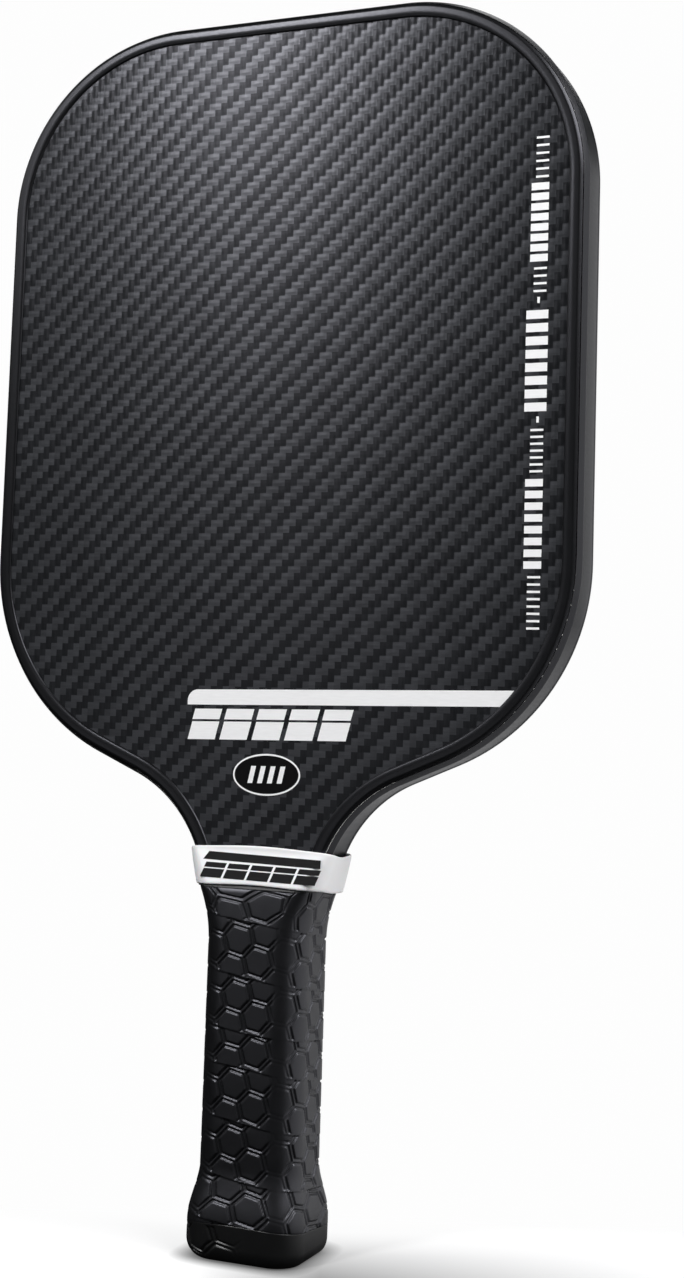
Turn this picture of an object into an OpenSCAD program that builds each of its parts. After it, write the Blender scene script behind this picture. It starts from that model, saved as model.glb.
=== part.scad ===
// Pickleball paddle: a honeycomb panel with carbon faces, an edge guard, a built-up
// handle in a cushion grip, a butt cap and a stretched rubber collar.
// Millimetres. The origin is the centre of the butt's end face, +Z points to the tip of
// the head, and the front face looks along -Y.

/* [Head] */
// Length from the end of the butt to the tip of the head
paddle_l = 397.5; // [394:0.5:404]
// Width of the head over the edge guard
head_w = 205; // [200:1:212]
// Outer radius of the two upper corners
top_corner_r = 62; // [50:0.5:75]
// Outer radius of the two lower corners
low_corner_r = 69; // [66:0.5:73]
// Height of the lower corners' centres
low_corner_z = 217; // [214:1:222]
// Slope of the straight shoulders, from the horizontal
shoulder_angle = 23.5; // [21:0.5:26]
// Length of each straight shoulder
shoulder_l = 16; // [14:0.5:19]
// Radius of the hollow between each shoulder and the neck
throat_r = 43; // [40:0.5:46]
// Slope of the neck where it enters the collar, from the horizontal
neck_angle = 67; // [64:0.5:69]

/* [Panel] */
// Thickness of the honeycomb core
core_t = 16; // [13:0.5:16]
// Thickness of each carbon face sheet
sheet_t = 0.45; // [0.35:0.05:0.6]
// Thickness of the adhesive film under each sheet
film_t = 0.05; // [0.05:0.05:0.15]
// Honeycomb cell size across the flats
cell_af = 10; // [8:1:14]
// Wall between neighbouring cells
cell_wall = 0.6; // [0.5:0.1:1.2]

/* [Edge guard] */
// Thickness of the guard's outer wall
guard_wall = 1.35; // [1.2:0.05:1.6]
// Thickness of the double-sided tape inside the guard
guard_tape_t = 0.25; // [0.1:0.05:0.4]
// How far each lip reaches in from the guard's widest line
lip_reach = 5.8; // [5:0.1:6.5]
// How far each lip stands proud of its face sheet
lip_h = 0.85; // [0.7:0.05:1.1]
// Width of the bevel between the lip and the side wall
bevel_w = 1.7; // [1.4:0.1:1.9]
// Depth of that bevel along the paddle's thickness
bevel_h = 3.3; // [2.5:0.1:3.6]

/* [Handle] */
// Width of the bare handle
handle_w = 29; // [28:0.2:30]
// Depth of the bare handle
handle_d = 25; // [24:0.2:26]
// Chamfer along the bare handle's eight-sided section
handle_chamfer = 4; // [3.5:0.1:4.1]
// Thickness of the cushion grip
grip_t = 2.6; // [2.3:0.1:2.8]
// Radius of the grip's four rounded corners
grip_corner = 9.5; // [8:0.5:10]
// Width of the flared butt
butt_w = 39; // [38:0.5:41]
// Depth of the flared butt
butt_d = 36; // [35:0.5:38]
// Height at which the flare of the butt begins
flare_z = 28; // [25:1:32]

/* [Collar] */
// Height of the collar
collar_h = 12; // [11.5:0.5:13]
// Thickness of the collar's rubber
collar_t = 1.25; // [1:0.05:1.4]

/* [Hidden] */
$fn = 48;

half_w = head_w / 2;
panel_t = core_t + 2 * (film_t + sheet_t);
panel_inset = guard_wall + guard_tape_t;
arc_step = 4;                 // degrees between two points of an outline's arc
corner_n = 5;                 // straight pieces in each rounded corner of the handle

// Centres of the outline's arcs on the +X side: upper corner, lower corner and throat
top_c = [half_w - top_corner_r, paddle_l - top_corner_r];
low_c = [half_w - low_corner_r, low_corner_z];
throat_c = low_c + (low_corner_r + throat_r) * [sin(shoulder_angle), -cos(shoulder_angle)]
         - shoulder_l * [cos(shoulder_angle), sin(shoulder_angle)];

// The throat's arc ends here, and the collar's upper edge is at the same height
neck = throat_c - throat_r * [sin(neck_angle), -cos(neck_angle)];
collar_top = neck.y;
collar_foot = collar_top - collar_h;
guard_foot = collar_top - 4;
tang_foot = 4;                // the panel's tang stands on the floor of the butt cap
fit_gap = 0.05;               // clearance between pieces that slip over one another

// Points of an arc around c from angle a to angle b, both ends included
function arc(c, r, a, b) =
    let (n = ceil(abs(b - a) / arc_step))
    [for (i = [0:n]) let (t = a + (b - a) * i / n) c + r * [cos(t), sin(t)]];

// Width of the neck below its arc, for an outline set in by d, at height z
function neck_x(d, z) =
    let (p = throat_c - (throat_r + d) * [sin(neck_angle), -cos(neck_angle)])
    p.x - (p.y - z) / tan(neck_angle);

// Right-hand half of the head's outline, set in by d, from the tip down to the neck's arc
function head_half(d) = concat(
    arc(top_c, top_corner_r - d, 90, 0),
    arc(low_c, low_corner_r - d, 0, shoulder_angle - 90),
    arc(throat_c, throat_r + d, 90 + shoulder_angle, 90 + neck_angle));

// The same half, carried straight down the neck to height z
function half_to(d, z) = concat(head_half(d), [[neck_x(d, z), z]]);

// A half mirrored to the -X side and run backwards, so that the two halves make one loop
function mirrored(half) = [for (i = [len(half) - 1:-1:0]) [-half[i].x, half[i].y]];

// The panel: the head, its neck and the tang that runs down the handle
module panel_shape(d) {
    tang_x = handle_w / 2;
    shoulder_z = neck.y - (neck_x(d, neck.y) - tang_x) * tan(neck_angle);
    half = concat(head_half(d), [[tang_x, shoulder_z], [tang_x, tang_foot]]);
    polygon(concat(half, mirrored(half)));
}

// Stands a shape drawn in X and Z upright, from y0 to y0 + t
module upright(y0, t) translate([0, y0 + t, 0]) rotate([90, 0, 0]) linear_extrude(t) children();

// Section with its four corners cut at 45 degrees; n > 1 rounds the corners instead
function section(hw, hd, cut, n = 1) = [
    for (q = [0:3]) for (i = [0:n])
        let (a = 90 * (q % 2 == 0 ? i : n - i) / n,
             sx = (q == 0 || q == 3) ? 1 : -1,
             sy = q < 2 ? 1 : -1)
        [sx * (hw - cut + cut * cos(a)), sy * (hd - cut + cut * sin(a))]];

// Skin over a stack of sections; each level is [z, half width, half depth, cut]
module loft(levels, n = 1) {
    m = 4 * (n + 1);
    top = len(levels) - 1;
    points = [for (s = levels) for (p = section(s[1], s[2], s[3], n)) [p.x, p.y, s[0]]];
    sides = [for (k = [0:top - 1]) for (i = [0:m - 1])
        let (a = k * m + i, b = k * m + (i + 1) % m)
        each [[a, a + m, b], [b, a + m, b + m]]];
    polyhedron(points, concat([[for (i = [0:m - 1]) i]], sides,
                              [[for (i = [m - 1:-1:0]) top * m + i]]), convexity = 4);
}

// ---- Panel ----

// One six-sided cell of the honeycomb
module cell() circle(r = (cell_af - cell_wall) / sqrt(3), $fn = 6);

// Half-width of the panel at height z, which the cells of a row stay inside
function core_x(z) =
    let (d = panel_inset, h = half_to(d, tang_foot),
         hits = [for (i = [0:len(h) - 2]) if (h[i].y >= z && h[i + 1].y < z)
                 h[i].x + (h[i + 1].x - h[i].x) * (h[i].y - z) / (h[i].y - h[i + 1].y)])
    len(hits) > 0 ? max(hits[0], handle_w / 2) : 0;

module honeycomb_core() color("gainsboro") {
    row = cell_af * sqrt(3) / 2;
    reach = cell_af / sqrt(3) + cell_wall;
    rows = floor((paddle_l - panel_inset - tang_foot - 2 * reach) / row);
    upright(-core_t / 2, core_t) difference() {
        panel_shape(panel_inset);
        for (k = [0:rows]) {
            z = tang_foot + reach + k * row;
            room = min(core_x(z - reach), core_x(z), core_x(z + reach));
            shift = (k % 2) * cell_af / 2;
            last = floor((room - reach - shift) / cell_af);
            for (i = [-last - (k % 2):last]) translate([i * cell_af + shift, z]) rotate(30) cell();
        }
    }
}

module bond_film(side) color("lightyellow")
    upright(side > 0 ? core_t / 2 : -core_t / 2 - film_t, film_t) panel_shape(panel_inset);
module front_bond_film() bond_film(-1);
module rear_bond_film() bond_film(1);

module face_sheet(side) color([0.16, 0.165, 0.18]) {
    inner = core_t / 2 + film_t;
    upright(side > 0 ? inner : -inner - sheet_t, sheet_t) panel_shape(panel_inset);
}
module front_face_sheet() face_sheet(-1);
module rear_face_sheet() face_sheet(1);

// ---- Edge guard ----

// Band of tape between the panel's rim and the guard's wall
module edge_guard_tape() color("white") {
    outer = half_to(guard_wall, guard_foot);
    inner = half_to(panel_inset, guard_foot);
    upright(-panel_t / 2, panel_t)
        polygon(concat(outer, [for (i = [len(inner) - 1:-1:0]) inner[i]],
                       [for (p = inner) [-p.x, p.y]], mirrored(outer)));
}

// The guard's channel section as [inset, y] points: outer skin from rear to front, then inner
function guard_section() =
    let (face = panel_t / 2, top = face + lip_h, ridge = top - bevel_h, flat_in = 0.25,
         outer_half = [[flat_in, ridge - 0.9], [0, ridge - 0.25], [0, ridge],
                       [bevel_w, top - 0.2], [bevel_w + 0.7, top],
                       [lip_reach - 1.4, top - 0.05], [lip_reach - 0.3, face + 0.35], [lip_reach, face]],
         n = len(outer_half))
    concat([for (i = [n - 1:-1:0]) [outer_half[i][0], outer_half[i][1]]],
           [for (p = outer_half) [p[0], -p[1]]],
           [[guard_wall, -face], [guard_wall, face]]);

module edge_guard() color([0.09, 0.09, 0.1]) {
    ring = guard_section();
    m = len(ring);
    loops = [for (s = ring) let (h = half_to(s[0], guard_foot)) concat(mirrored(h), h)];
    n = len(loops[0]);
    points = [for (i = [0:n - 1]) for (j = [0:m - 1]) [loops[j][i].x, ring[j][1], loops[j][i].y]];
    sides = [for (i = [0:n - 2]) for (j = [0:m - 1])
        let (a = i * m + j, b = i * m + (j + 1) % m)
        each [[a, a + m, b], [b, a + m, b + m]]];
    polyhedron(points, concat([[for (j = [0:m - 1]) j]], sides,
                              [[for (j = [m - 1:-1:0]) (n - 1) * m + j]]), convexity = 8);
}

// ---- Handle ----

pallet_top = guard_foot - 0.5;
pallet_tip = 0.4;             // thickness left at a pallet's upper end
ramp_foot = collar_foot - 4;  // above this height each pallet runs down to the face sheet
staple_z = 17;
staple_r = 0.45;
staple_span = 9;
staple_depth = 3.2;           // how far a staple's legs bite into a pallet

module staple_holes() for (x = [-0.5, 0.5])
    translate([x * staple_span, 0, staple_z]) rotate([90, 0, 0])
        cylinder(r = staple_r, h = 2 * butt_d, center = true);

module handle_pallet(side) color("tan") {
    face = panel_t / 2;
    outer = handle_d / 2;
    difference() {
        intersection() {
            translate([0, 0, tang_foot]) linear_extrude(pallet_top - tang_foot)
                polygon(section(handle_w / 2, outer, handle_chamfer));
            rotate([90, 0, 90]) linear_extrude(handle_w + 2, center = true)
                polygon([for (p = [[face, tang_foot], [outer, tang_foot], [outer, ramp_foot],
                                   [face + pallet_tip, pallet_top], [face, pallet_top]]) [side * p.x, p.y]]);
        }
        intersection() {
            staple_holes();
            translate([-butt_w / 2, side > 0 ? outer - staple_depth : -outer - 1, 0])
                cube([butt_w, staple_depth + 1, 2 * staple_z]);
        }
    }
}
module front_handle_pallet() handle_pallet(-1);
module rear_handle_pallet() handle_pallet(1);

// ---- Butt ----

cap_rim = 9;                  // the cap shows below this height, and the grip covers the rest
cap_top = flare_z - 7;
cap_wall = 1.5;
medallion_r = 9;
recess = 1.2;

// Half sizes of the flare's outside at height z, easing from the butt to the grip's straight part
function flare(z) =
    let (t = max(0, min(1, (z - cap_rim - 2) / (flare_z - cap_rim - 2))), s = t * t * (3 - 2 * t))
    [butt_w / 2 * (1 - s) + (handle_w / 2 + grip_t) * s, butt_d / 2 * (1 - s) + (handle_d / 2 + grip_t) * s];

// A level of the flare, set in by d
function flare_level(z, d, cut = grip_corner) = let (f = flare(z)) [z, f.x - d, f.y - d, cut - d * 0.4];

// Distance from the middle to the axis of a staple's crown, which lies flush in the cap
crown_y = flare(staple_z).y - grip_t - fit_gap - staple_r;

module crown_grooves() for (side = [-1, 1]) translate([0, side * crown_y, staple_z]) {
    rotate([0, 90, 0]) cylinder(r = staple_r, h = staple_span, center = true);
    translate([-staple_span / 2, side > 0 ? 0 : -2, -staple_r]) cube([staple_span, 2, 2 * staple_r]);
}

module butt_cap() color([0.07, 0.07, 0.075]) difference() {
    union() {
        loft(concat([for (p = [[0, 5.5], [0.9, 3.2], [2.4, 1.5], [4.6, 0.4]])
                     [p.x, butt_w / 2 - p.y, butt_d / 2 - p.y, grip_corner - p.y * 0.2]],
                    [flare_level(cap_rim, 0)]), corner_n);
        loft([for (z = [cap_rim, 12, 15, 18, cap_top])
              let (f = flare(z), g = grip_t + fit_gap)
              [z, max(f.x - g, handle_w / 2 + cap_wall), max(f.y - g, handle_d / 2 + cap_wall), 5]]);
    }
    translate([0, 0, tang_foot]) linear_extrude(flare_z)
        polygon(section(handle_w / 2 + fit_gap, handle_d / 2 + fit_gap, handle_chamfer));
    translate([0, 0, -1]) cylinder(r = medallion_r + fit_gap, h = recess + 1);
    staple_holes();
    crown_grooves();
}

// Two wire staples, one through the cap's front and one through its rear
module butt_cap_staples() color("silver") for (side = [-1, 1]) {
    tip_y = handle_d / 2 - staple_depth + 0.1;
    translate([0, side * crown_y, staple_z]) rotate([0, 90, 0])
        cylinder(r = staple_r, h = staple_span, center = true);
    for (x = [-0.5, 0.5]) translate([x * staple_span, 0, staple_z]) {
        translate([0, side * crown_y, 0]) sphere(r = staple_r);
        translate([0, side * tip_y, 0]) rotate([-90 * side, 0, 0])
            cylinder(r = staple_r, h = crown_y - tip_y);
    }
}

module butt_medallion() color([0.2, 0.2, 0.21]) {
    dome_h = 0.6;
    base_h = 0.3;
    dome_r = (medallion_r * medallion_r + dome_h * dome_h) / (2 * dome_h);
    rotate_extrude() intersection() {
        translate([0, recess - base_h - dome_h]) square([medallion_r, base_h + dome_h]);
        translate([0, recess - base_h - dome_h + dome_r]) circle(r = dome_r, $fn = 240);
    }
}

// ---- Grip, finishing tape and collar ----

grip_foot = cap_rim + fit_gap;
grip_top = collar_top - 5.5;
tape_t = 0.25;

// Inside of the collar at height z as half sizes: wide on the neck above, deep on the grip below
function collar_in(z) =
    let (t = (collar_top - z) / collar_h,
         above = [neck_x(0, collar_top) + fit_gap, panel_t / 2 + lip_h + fit_gap],
         below = [handle_w / 2 + 6, handle_d / 2 + 1.5])
    above + (below - above) * t;

// A level of the collar's inside, set out by d; its corners round off towards the grip
function collar_level(z, d) =
    let (c = collar_in(z), t = (collar_top - z) / collar_h) [z, c.x + d, c.y + d, 2 + 4 * max(0, min(1, t))];

module cushion_grip() color([0.08, 0.08, 0.085]) {
    shaft = [handle_w / 2 + grip_t, handle_d / 2 + grip_t];
    neck_in = panel_inset - 2 * fit_gap;
    neck_low = collar_top - (neck_x(neck_in, collar_top) - handle_w / 2) * tan(neck_angle);
    neck_half = [[neck_x(neck_in, collar_top), collar_top], [handle_w / 2, neck_low]];
    difference() {
        loft(concat([for (z = [grip_foot, 11, 14, 17, 20, 23, flare_z]) flare_level(z, 0)],
                    [[collar_foot - 18, shaft.x, shaft.y, grip_corner],
                     [collar_foot - 8, shaft.x + 0.6, shaft.y - 0.2, grip_corner - 1],
                     collar_level(collar_foot, -tape_t - 2 * fit_gap),
                     collar_level(grip_top, -tape_t - 2 * fit_gap)]), corner_n);
        loft([for (z = [grip_foot - 1, 12, 15, 18, cap_top + 0.01])
              let (f = flare(z), wall = cap_wall + fit_gap)
              [z, max(f.x - grip_t, handle_w / 2 + wall), max(f.y - grip_t, handle_d / 2 + wall), 5]]);
        loft([[cap_top, handle_w / 2 + fit_gap, handle_d / 2 + fit_gap, handle_chamfer],
              [ramp_foot, handle_w / 2 + fit_gap, handle_d / 2 + fit_gap, handle_chamfer],
              [pallet_top, handle_w / 2 + fit_gap, panel_t / 2 + pallet_tip + fit_gap, pallet_tip]]);
        upright(-panel_t / 2 - 2 * fit_gap, panel_t + 4 * fit_gap)
            polygon(concat(neck_half, mirrored(neck_half)));
    }
}

module grip_finishing_tape() color([0.12, 0.12, 0.13]) difference() {
    loft([collar_level(collar_foot + 0.5, -fit_gap), collar_level(grip_top + 1.5, -fit_gap)], corner_n);
    loft([collar_level(collar_foot - 0.5, -fit_gap - tape_t),
          collar_level(grip_top + 2.5, -fit_gap - tape_t)], corner_n);
}

module collar() color("white") difference() {
    loft([collar_level(collar_foot, collar_t - 0.4), collar_level(collar_foot + 0.5, collar_t),
          collar_level(collar_top - 0.5, collar_t), collar_level(collar_top, collar_t - 0.4)], corner_n);
    loft([collar_level(collar_foot - 1, 0), collar_level(collar_top + 1, 0)], corner_n);
}

honeycomb_core();
front_bond_film();
rear_bond_film();
front_face_sheet();
rear_face_sheet();
edge_guard_tape();
edge_guard();
front_handle_pallet();
rear_handle_pallet();
butt_cap();
butt_cap_staples();
butt_medallion();
cushion_grip();
grip_finishing_tape();
collar();
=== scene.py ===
"""Looks of a pickleball paddle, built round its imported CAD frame.

Shapes are worked out in millimetres in the CAD frame (+Z to the tip, the front face looks
along -Y) and become metres when a mesh is made.
"""

import math

import bmesh
import bpy
import numpy as np
from mathutils import Matrix, Vector


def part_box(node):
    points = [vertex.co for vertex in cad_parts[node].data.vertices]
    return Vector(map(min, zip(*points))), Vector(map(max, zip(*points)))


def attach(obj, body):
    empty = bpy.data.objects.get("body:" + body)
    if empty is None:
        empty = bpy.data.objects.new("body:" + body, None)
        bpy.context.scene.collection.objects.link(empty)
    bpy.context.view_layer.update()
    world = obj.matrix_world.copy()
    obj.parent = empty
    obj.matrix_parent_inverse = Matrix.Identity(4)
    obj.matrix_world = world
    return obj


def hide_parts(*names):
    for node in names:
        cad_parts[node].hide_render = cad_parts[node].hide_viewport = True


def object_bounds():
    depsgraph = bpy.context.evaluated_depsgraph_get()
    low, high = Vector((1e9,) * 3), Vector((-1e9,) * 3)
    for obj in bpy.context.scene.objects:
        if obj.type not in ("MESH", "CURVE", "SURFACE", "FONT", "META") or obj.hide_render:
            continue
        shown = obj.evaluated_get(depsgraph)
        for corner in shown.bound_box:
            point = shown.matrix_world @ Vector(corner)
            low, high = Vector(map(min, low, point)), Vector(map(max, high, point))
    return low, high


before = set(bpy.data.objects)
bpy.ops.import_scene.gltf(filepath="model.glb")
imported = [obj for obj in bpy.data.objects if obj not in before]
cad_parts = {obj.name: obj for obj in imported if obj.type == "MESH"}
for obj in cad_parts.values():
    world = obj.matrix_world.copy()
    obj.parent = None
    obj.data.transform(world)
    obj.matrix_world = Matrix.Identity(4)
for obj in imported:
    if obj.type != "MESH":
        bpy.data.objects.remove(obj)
CAD_LO, CAD_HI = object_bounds()

MM = 0.001
BODY = "root"

# ---- Driving sizes, in millimetres and degrees ----

HALF_W = CAD_HI.x / MM
TIP_Z = CAD_HI.z / MM
SHEET_LO, SHEET_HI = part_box("rear_face_sheet")
FACE_Y = SHEET_HI.y / MM        # outer surface of a face sheet
SHEET_IN_Y = SHEET_LO.y / MM    # and its inner surface
PANEL_FOOT = SHEET_LO.z / MM
LIP_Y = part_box("edge_guard")[1].y / MM      # crest of the guard's lips
GUARD_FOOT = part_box("edge_guard")[0].z / MM
NECK_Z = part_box("collar")[1].z / MM         # upper end of the CAD collar
COLLAR_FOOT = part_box("collar")[0].z / MM
GRIP_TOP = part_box("cushion_grip")[1].z / MM

# The head's outline: arcs at the tip, at the foot and in the throat, and the straights between
TOP_R = 62.0
LOW_R = 69.0
LOW_Z = 217.0             # height of the foot arc's centre
SHOULDER_DEG = 23.5       # slope of the shoulder, which is straight, and its length
SHOULDER_L = 16.0
THROAT_R = 43.0
NECK_DEG = 67.0           # slope of the neck

PANEL_INSET = 1.6         # the panel's rim lies this far inside the outline
GUARD_WALL = 1.35
LIP_REACH = 5.8
RIDGE_Y = 6.05            # the ridge round the guard's wall, from the middle plane

TOW = 2.15                # width of one tow of the carbon twill
TWILL_DEPTH = 0.07        # how deep the grooves between tows are
INK = 0.03                # thickness of a printed layer
INK_ROOT = 0.1            # how far its solid reaches back, into the surface
PRINT_TILT = 1.2          # the prints on the head rise a little to the right
PRINT_PIVOT = (1.0, 170.0)

HANDLE_HALF = (14.5, 12.5)
SHAFT_HALF = (17.1, 15.1)
BUTT_HALF = (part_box("butt_cap")[1].x / MM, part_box("butt_cap")[1].y / MM)
CORNER_R = 9.5
GRIP_T = 2.6
FLARE = (11.0, 28.0)      # heights between which the butt's flare runs out
WIDEN_Z = 96.0            # above this height the grip widens towards the neck
NECK_GAIN = (3.05, -1.45)       # growth of the grip's half sizes up to the collar's foot
COLLAR_GAIN = (0.285, -0.33)    # and per millimetre above it
NECK_CORNER = 3.4         # loss of corner radius up to the collar's foot
FIT_GAP = 0.05            # between a piece and the one that it is pushed over
POINT_SPACING = 0.28      # between the points of the grip and the cap

# Heights of the wrap's seams at the middle of the front, from the top turn to the last
SEAM_Z = (137.0, 120.1, 103.1, 86.0, 69.0, 58.4, 41.8, 24.3, 11.7, -5.3)
TURN = 17.0               # height that one turn of the wrap gains
LATTICE = (6, 8)          # steps along two of the lattice's directions in one turn
PAD_AT = (-3.2, 11.4)     # a pad's centre: across the front, and above its seam
PAD_EDGE = (0.72, 1.12)   # a pad's side rises between these distances from the line midway to the next
RIDGE_EDGE = (0.12, 0.5)  # and so falls the side of the ridge that runs along that line
GROOVE_DEPTH = 0.55
RIDGE_DROP = 0.1          # how much lower the ridge is than the pads
SEAM_LIP = (0.07, 2.2)    # height and width of the lift above a seam
SEAM_TUCK = (0.11, 1.6)   # depth and width of the dip below it
SEAM_FLAT = (0.3, 0.9)    # the embossing sets in between these distances above a seam
CORNER_FADE = 0.92        # how much of the embossing is pulled flat over the corners
RIGHT_PULL = (4.0, 14.0, 36.0, 52.0)    # degrees from the front where the pull sets in and ends
LEFT_PULL = (9.0, 24.0, 55.0, 75.0)
LEFT_PULL_SHARE = 0.8
OVER_CAP = (-0.42, -0.3, -0.06, 0.03)   # shares of a turn where the wrap's pads run on over the cap
UNDER_COLLAR = 0.35       # the collar presses the wrap in by this much

RIM_Z = 9.3               # mean height of the seam between the butt cap and the grip
RIM_TILT = 2.4
RIM_GAP = 0.06
CAP_TOP = 21.0
CAP_FLOOR = 4.0
CAP_PAD_Z = 1.2           # height of a pad's centre on the cap
ROUND_LEFT = (4.5, 5.8)   # width and height of the cap's rounded bottom edge
ROUND_RIGHT = (2.4, 3.8)
ROUND_FACE = (3.2, 4.8)
RECESS_R = 9.05
RECESS_H = 1.2

COLLAR_T = 1.05           # thickness
COLLAR_CROWN = 0.12       # how much thicker it is at half height
COLLAR_ROUND = (0.42, 0.06)     # reach of its rounded edges: across, and as a share of the height
COLLAR_SHIFT = 0.4        # it sits a little to the right
COLLAR_SLOPE = (0.095, 0.045)   # fall of the lower and upper edge towards the rear
COLLAR_EDGES = (113.3, 124.2)   # heights of the collar's edges at the middle of its sides
COLLAR_BOW = (1.1, 2.1)         # how much higher they are at the middle of its two faces
COLLAR_CORNER = (6.5, 3.0)      # corner radius inside, at its lower and upper end
COLLAR_OVER = (6.0, 1.5)        # how far its lower end stands out from the bare handle
COLLAR_PRINT_FALL = 0.012       # the blocks on the collar fall a little to the right

# ---- Mesh helpers ----


def ring_faces(rings, size):
    """Quads between closed rings of vertices, which are numbered ring by ring."""
    ring = np.arange(rings - 1)[:, None] * size
    point = np.arange(size)[None, :]
    following = (point + 1) % size
    above = ring + size
    quads = np.stack((ring + point, ring + following, above + following, above + point), -1)
    return quads.reshape(-1, 4).tolist()


def tube_faces(rings, size):
    """The same, with the last ring joined to the first."""
    last = (rings - 1) * size
    joint = [[last + i, last + (i + 1) % size, (i + 1) % size, i] for i in range(size)]
    return ring_faces(rings, size) + joint


def capped_faces(rings, size):
    """The same, with a flat face over the first and the last ring."""
    last = (rings - 1) * size
    return ring_faces(rings, size) + [list(range(size)), [last + i for i in reversed(range(size))]]


def new_object(name, data):
    """An object with this data, linked into the scene."""
    made = bpy.data.objects.new(name, data)
    bpy.context.scene.collection.objects.link(made)
    return made


def make_piece(name, points, faces, material, sharp_deg=40.0, node=None):
    """Makes a smooth-shaded mesh from points in millimetres; it may stand for a CAD node."""
    mesh = bpy.data.meshes.new(name)
    mesh.from_pydata((np.asarray(points, float) * MM).tolist(), [], faces)
    clean = bmesh.new()
    clean.from_mesh(mesh)
    bmesh.ops.recalc_face_normals(clean, faces=clean.faces)
    clean.to_mesh(mesh)
    clean.free()
    mesh.polygons.foreach_set("use_smooth", [True] * len(mesh.polygons))
    mesh.set_sharp_from_angle(angle=math.radians(sharp_deg))
    mesh.materials.append(material)
    piece = new_object(name, mesh)
    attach(piece, BODY)
    if node:
        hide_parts(node)
    return piece


def smoothstep(value, low, high):
    """Rises smoothly from 0 at low to 1 at high."""
    t = np.clip((np.asarray(value, float) - low) / (high - low), 0.0, 1.0)
    return t * t * (3.0 - 2.0 * t)


def rounded(corners, cut, steps=4):
    """A polyline whose inner corners are eased by short curves that start cut before each corner."""
    points = [corners[0]]
    for before, corner, after in zip(corners[:-2], corners[1:-1], corners[2:]):
        to_before = before - corner
        to_after = after - corner
        a = corner + to_before * min(0.45, cut / np.linalg.norm(to_before))
        b = corner + to_after * min(0.45, cut / np.linalg.norm(to_after))
        for t in np.linspace(0, 1, steps + 1):
            points.append(a * (1 - t) ** 2 + corner * 2 * t * (1 - t) + b * t * t)
    points.append(corners[-1])
    return np.array(points)


# ---- Outline of the head ----


def arc(centre, radius, start, end, steps):
    """Points of an arc between two directions; the radius may be a pair, across and up."""
    turn = np.radians(np.linspace(start, end, steps + 1))
    return np.asarray(centre) + np.asarray(radius) * np.column_stack((np.cos(turn), np.sin(turn)))


def between(a, b, steps):
    """Points that divide the straight from a to b into equal steps, without its ends."""
    t = np.linspace(0, 1, steps + 1)[1:-1, None]
    return a + (b - a) * t


def along(angle_deg):
    """The unit vector in a direction."""
    return np.array([math.cos(math.radians(angle_deg)), math.sin(math.radians(angle_deg))])


TOP_C = np.array([HALF_W - TOP_R, TIP_Z - TOP_R])
LOW_C = np.array([HALF_W - LOW_R, LOW_Z])
THROAT_C = LOW_C + (LOW_R + THROAT_R) * along(SHOULDER_DEG - 90) - SHOULDER_L * along(SHOULDER_DEG)


def neck_x(inset, z):
    """Half-width of the straight neck at height z, for an outline set in by inset."""
    start = THROAT_C + (THROAT_R + inset) * along(90 + NECK_DEG)
    return start[0] - (start[1] - z) / math.tan(math.radians(NECK_DEG))


def half_outline(inset, foot_z):
    """Right-hand half of the outline from the middle of the tip down the neck to foot_z."""
    tip = np.array([[0.0, TIP_Z - inset]])
    top = arc(TOP_C, TOP_R - inset, 90, 0, steps=45)
    low = arc(LOW_C, LOW_R - inset, 0, SHOULDER_DEG - 90, steps=33)
    throat = arc(THROAT_C, THROAT_R + inset, 90 + SHOULDER_DEG, 90 + NECK_DEG, steps=22)
    foot = np.array([[neck_x(inset, foot_z), foot_z]])
    crown = between(tip[0], top[0], steps=10)
    side = between(top[-1], low[0], steps=14)
    shoulder = between(low[-1], throat[0], steps=4)
    neck = between(throat[-1], foot[0], steps=4)
    return np.vstack((tip, crown, top, side, low, shoulder, throat, neck, foot))


def full_outline(inset, foot_z):
    """The whole outline from the left foot over the tip to the right foot."""
    half = half_outline(inset, foot_z)
    return np.vstack((half[:0:-1] * (-1, 1), half))


def panel_loop(inset):
    """Closed outline of the panel with the tang that runs down inside the handle."""
    half = half_outline(inset, NECK_Z)[:-1]
    tang = HANDLE_HALF[0]
    shoulder_z = half[-1][1] - (half[-1][0] - tang) * math.tan(math.radians(NECK_DEG))
    half = np.vstack((half, [[tang, shoulder_z], [tang, PANEL_FOOT]]))
    return np.vstack((half, half[:0:-1] * (-1, 1)))


# ---- Node helpers for materials ----


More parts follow.
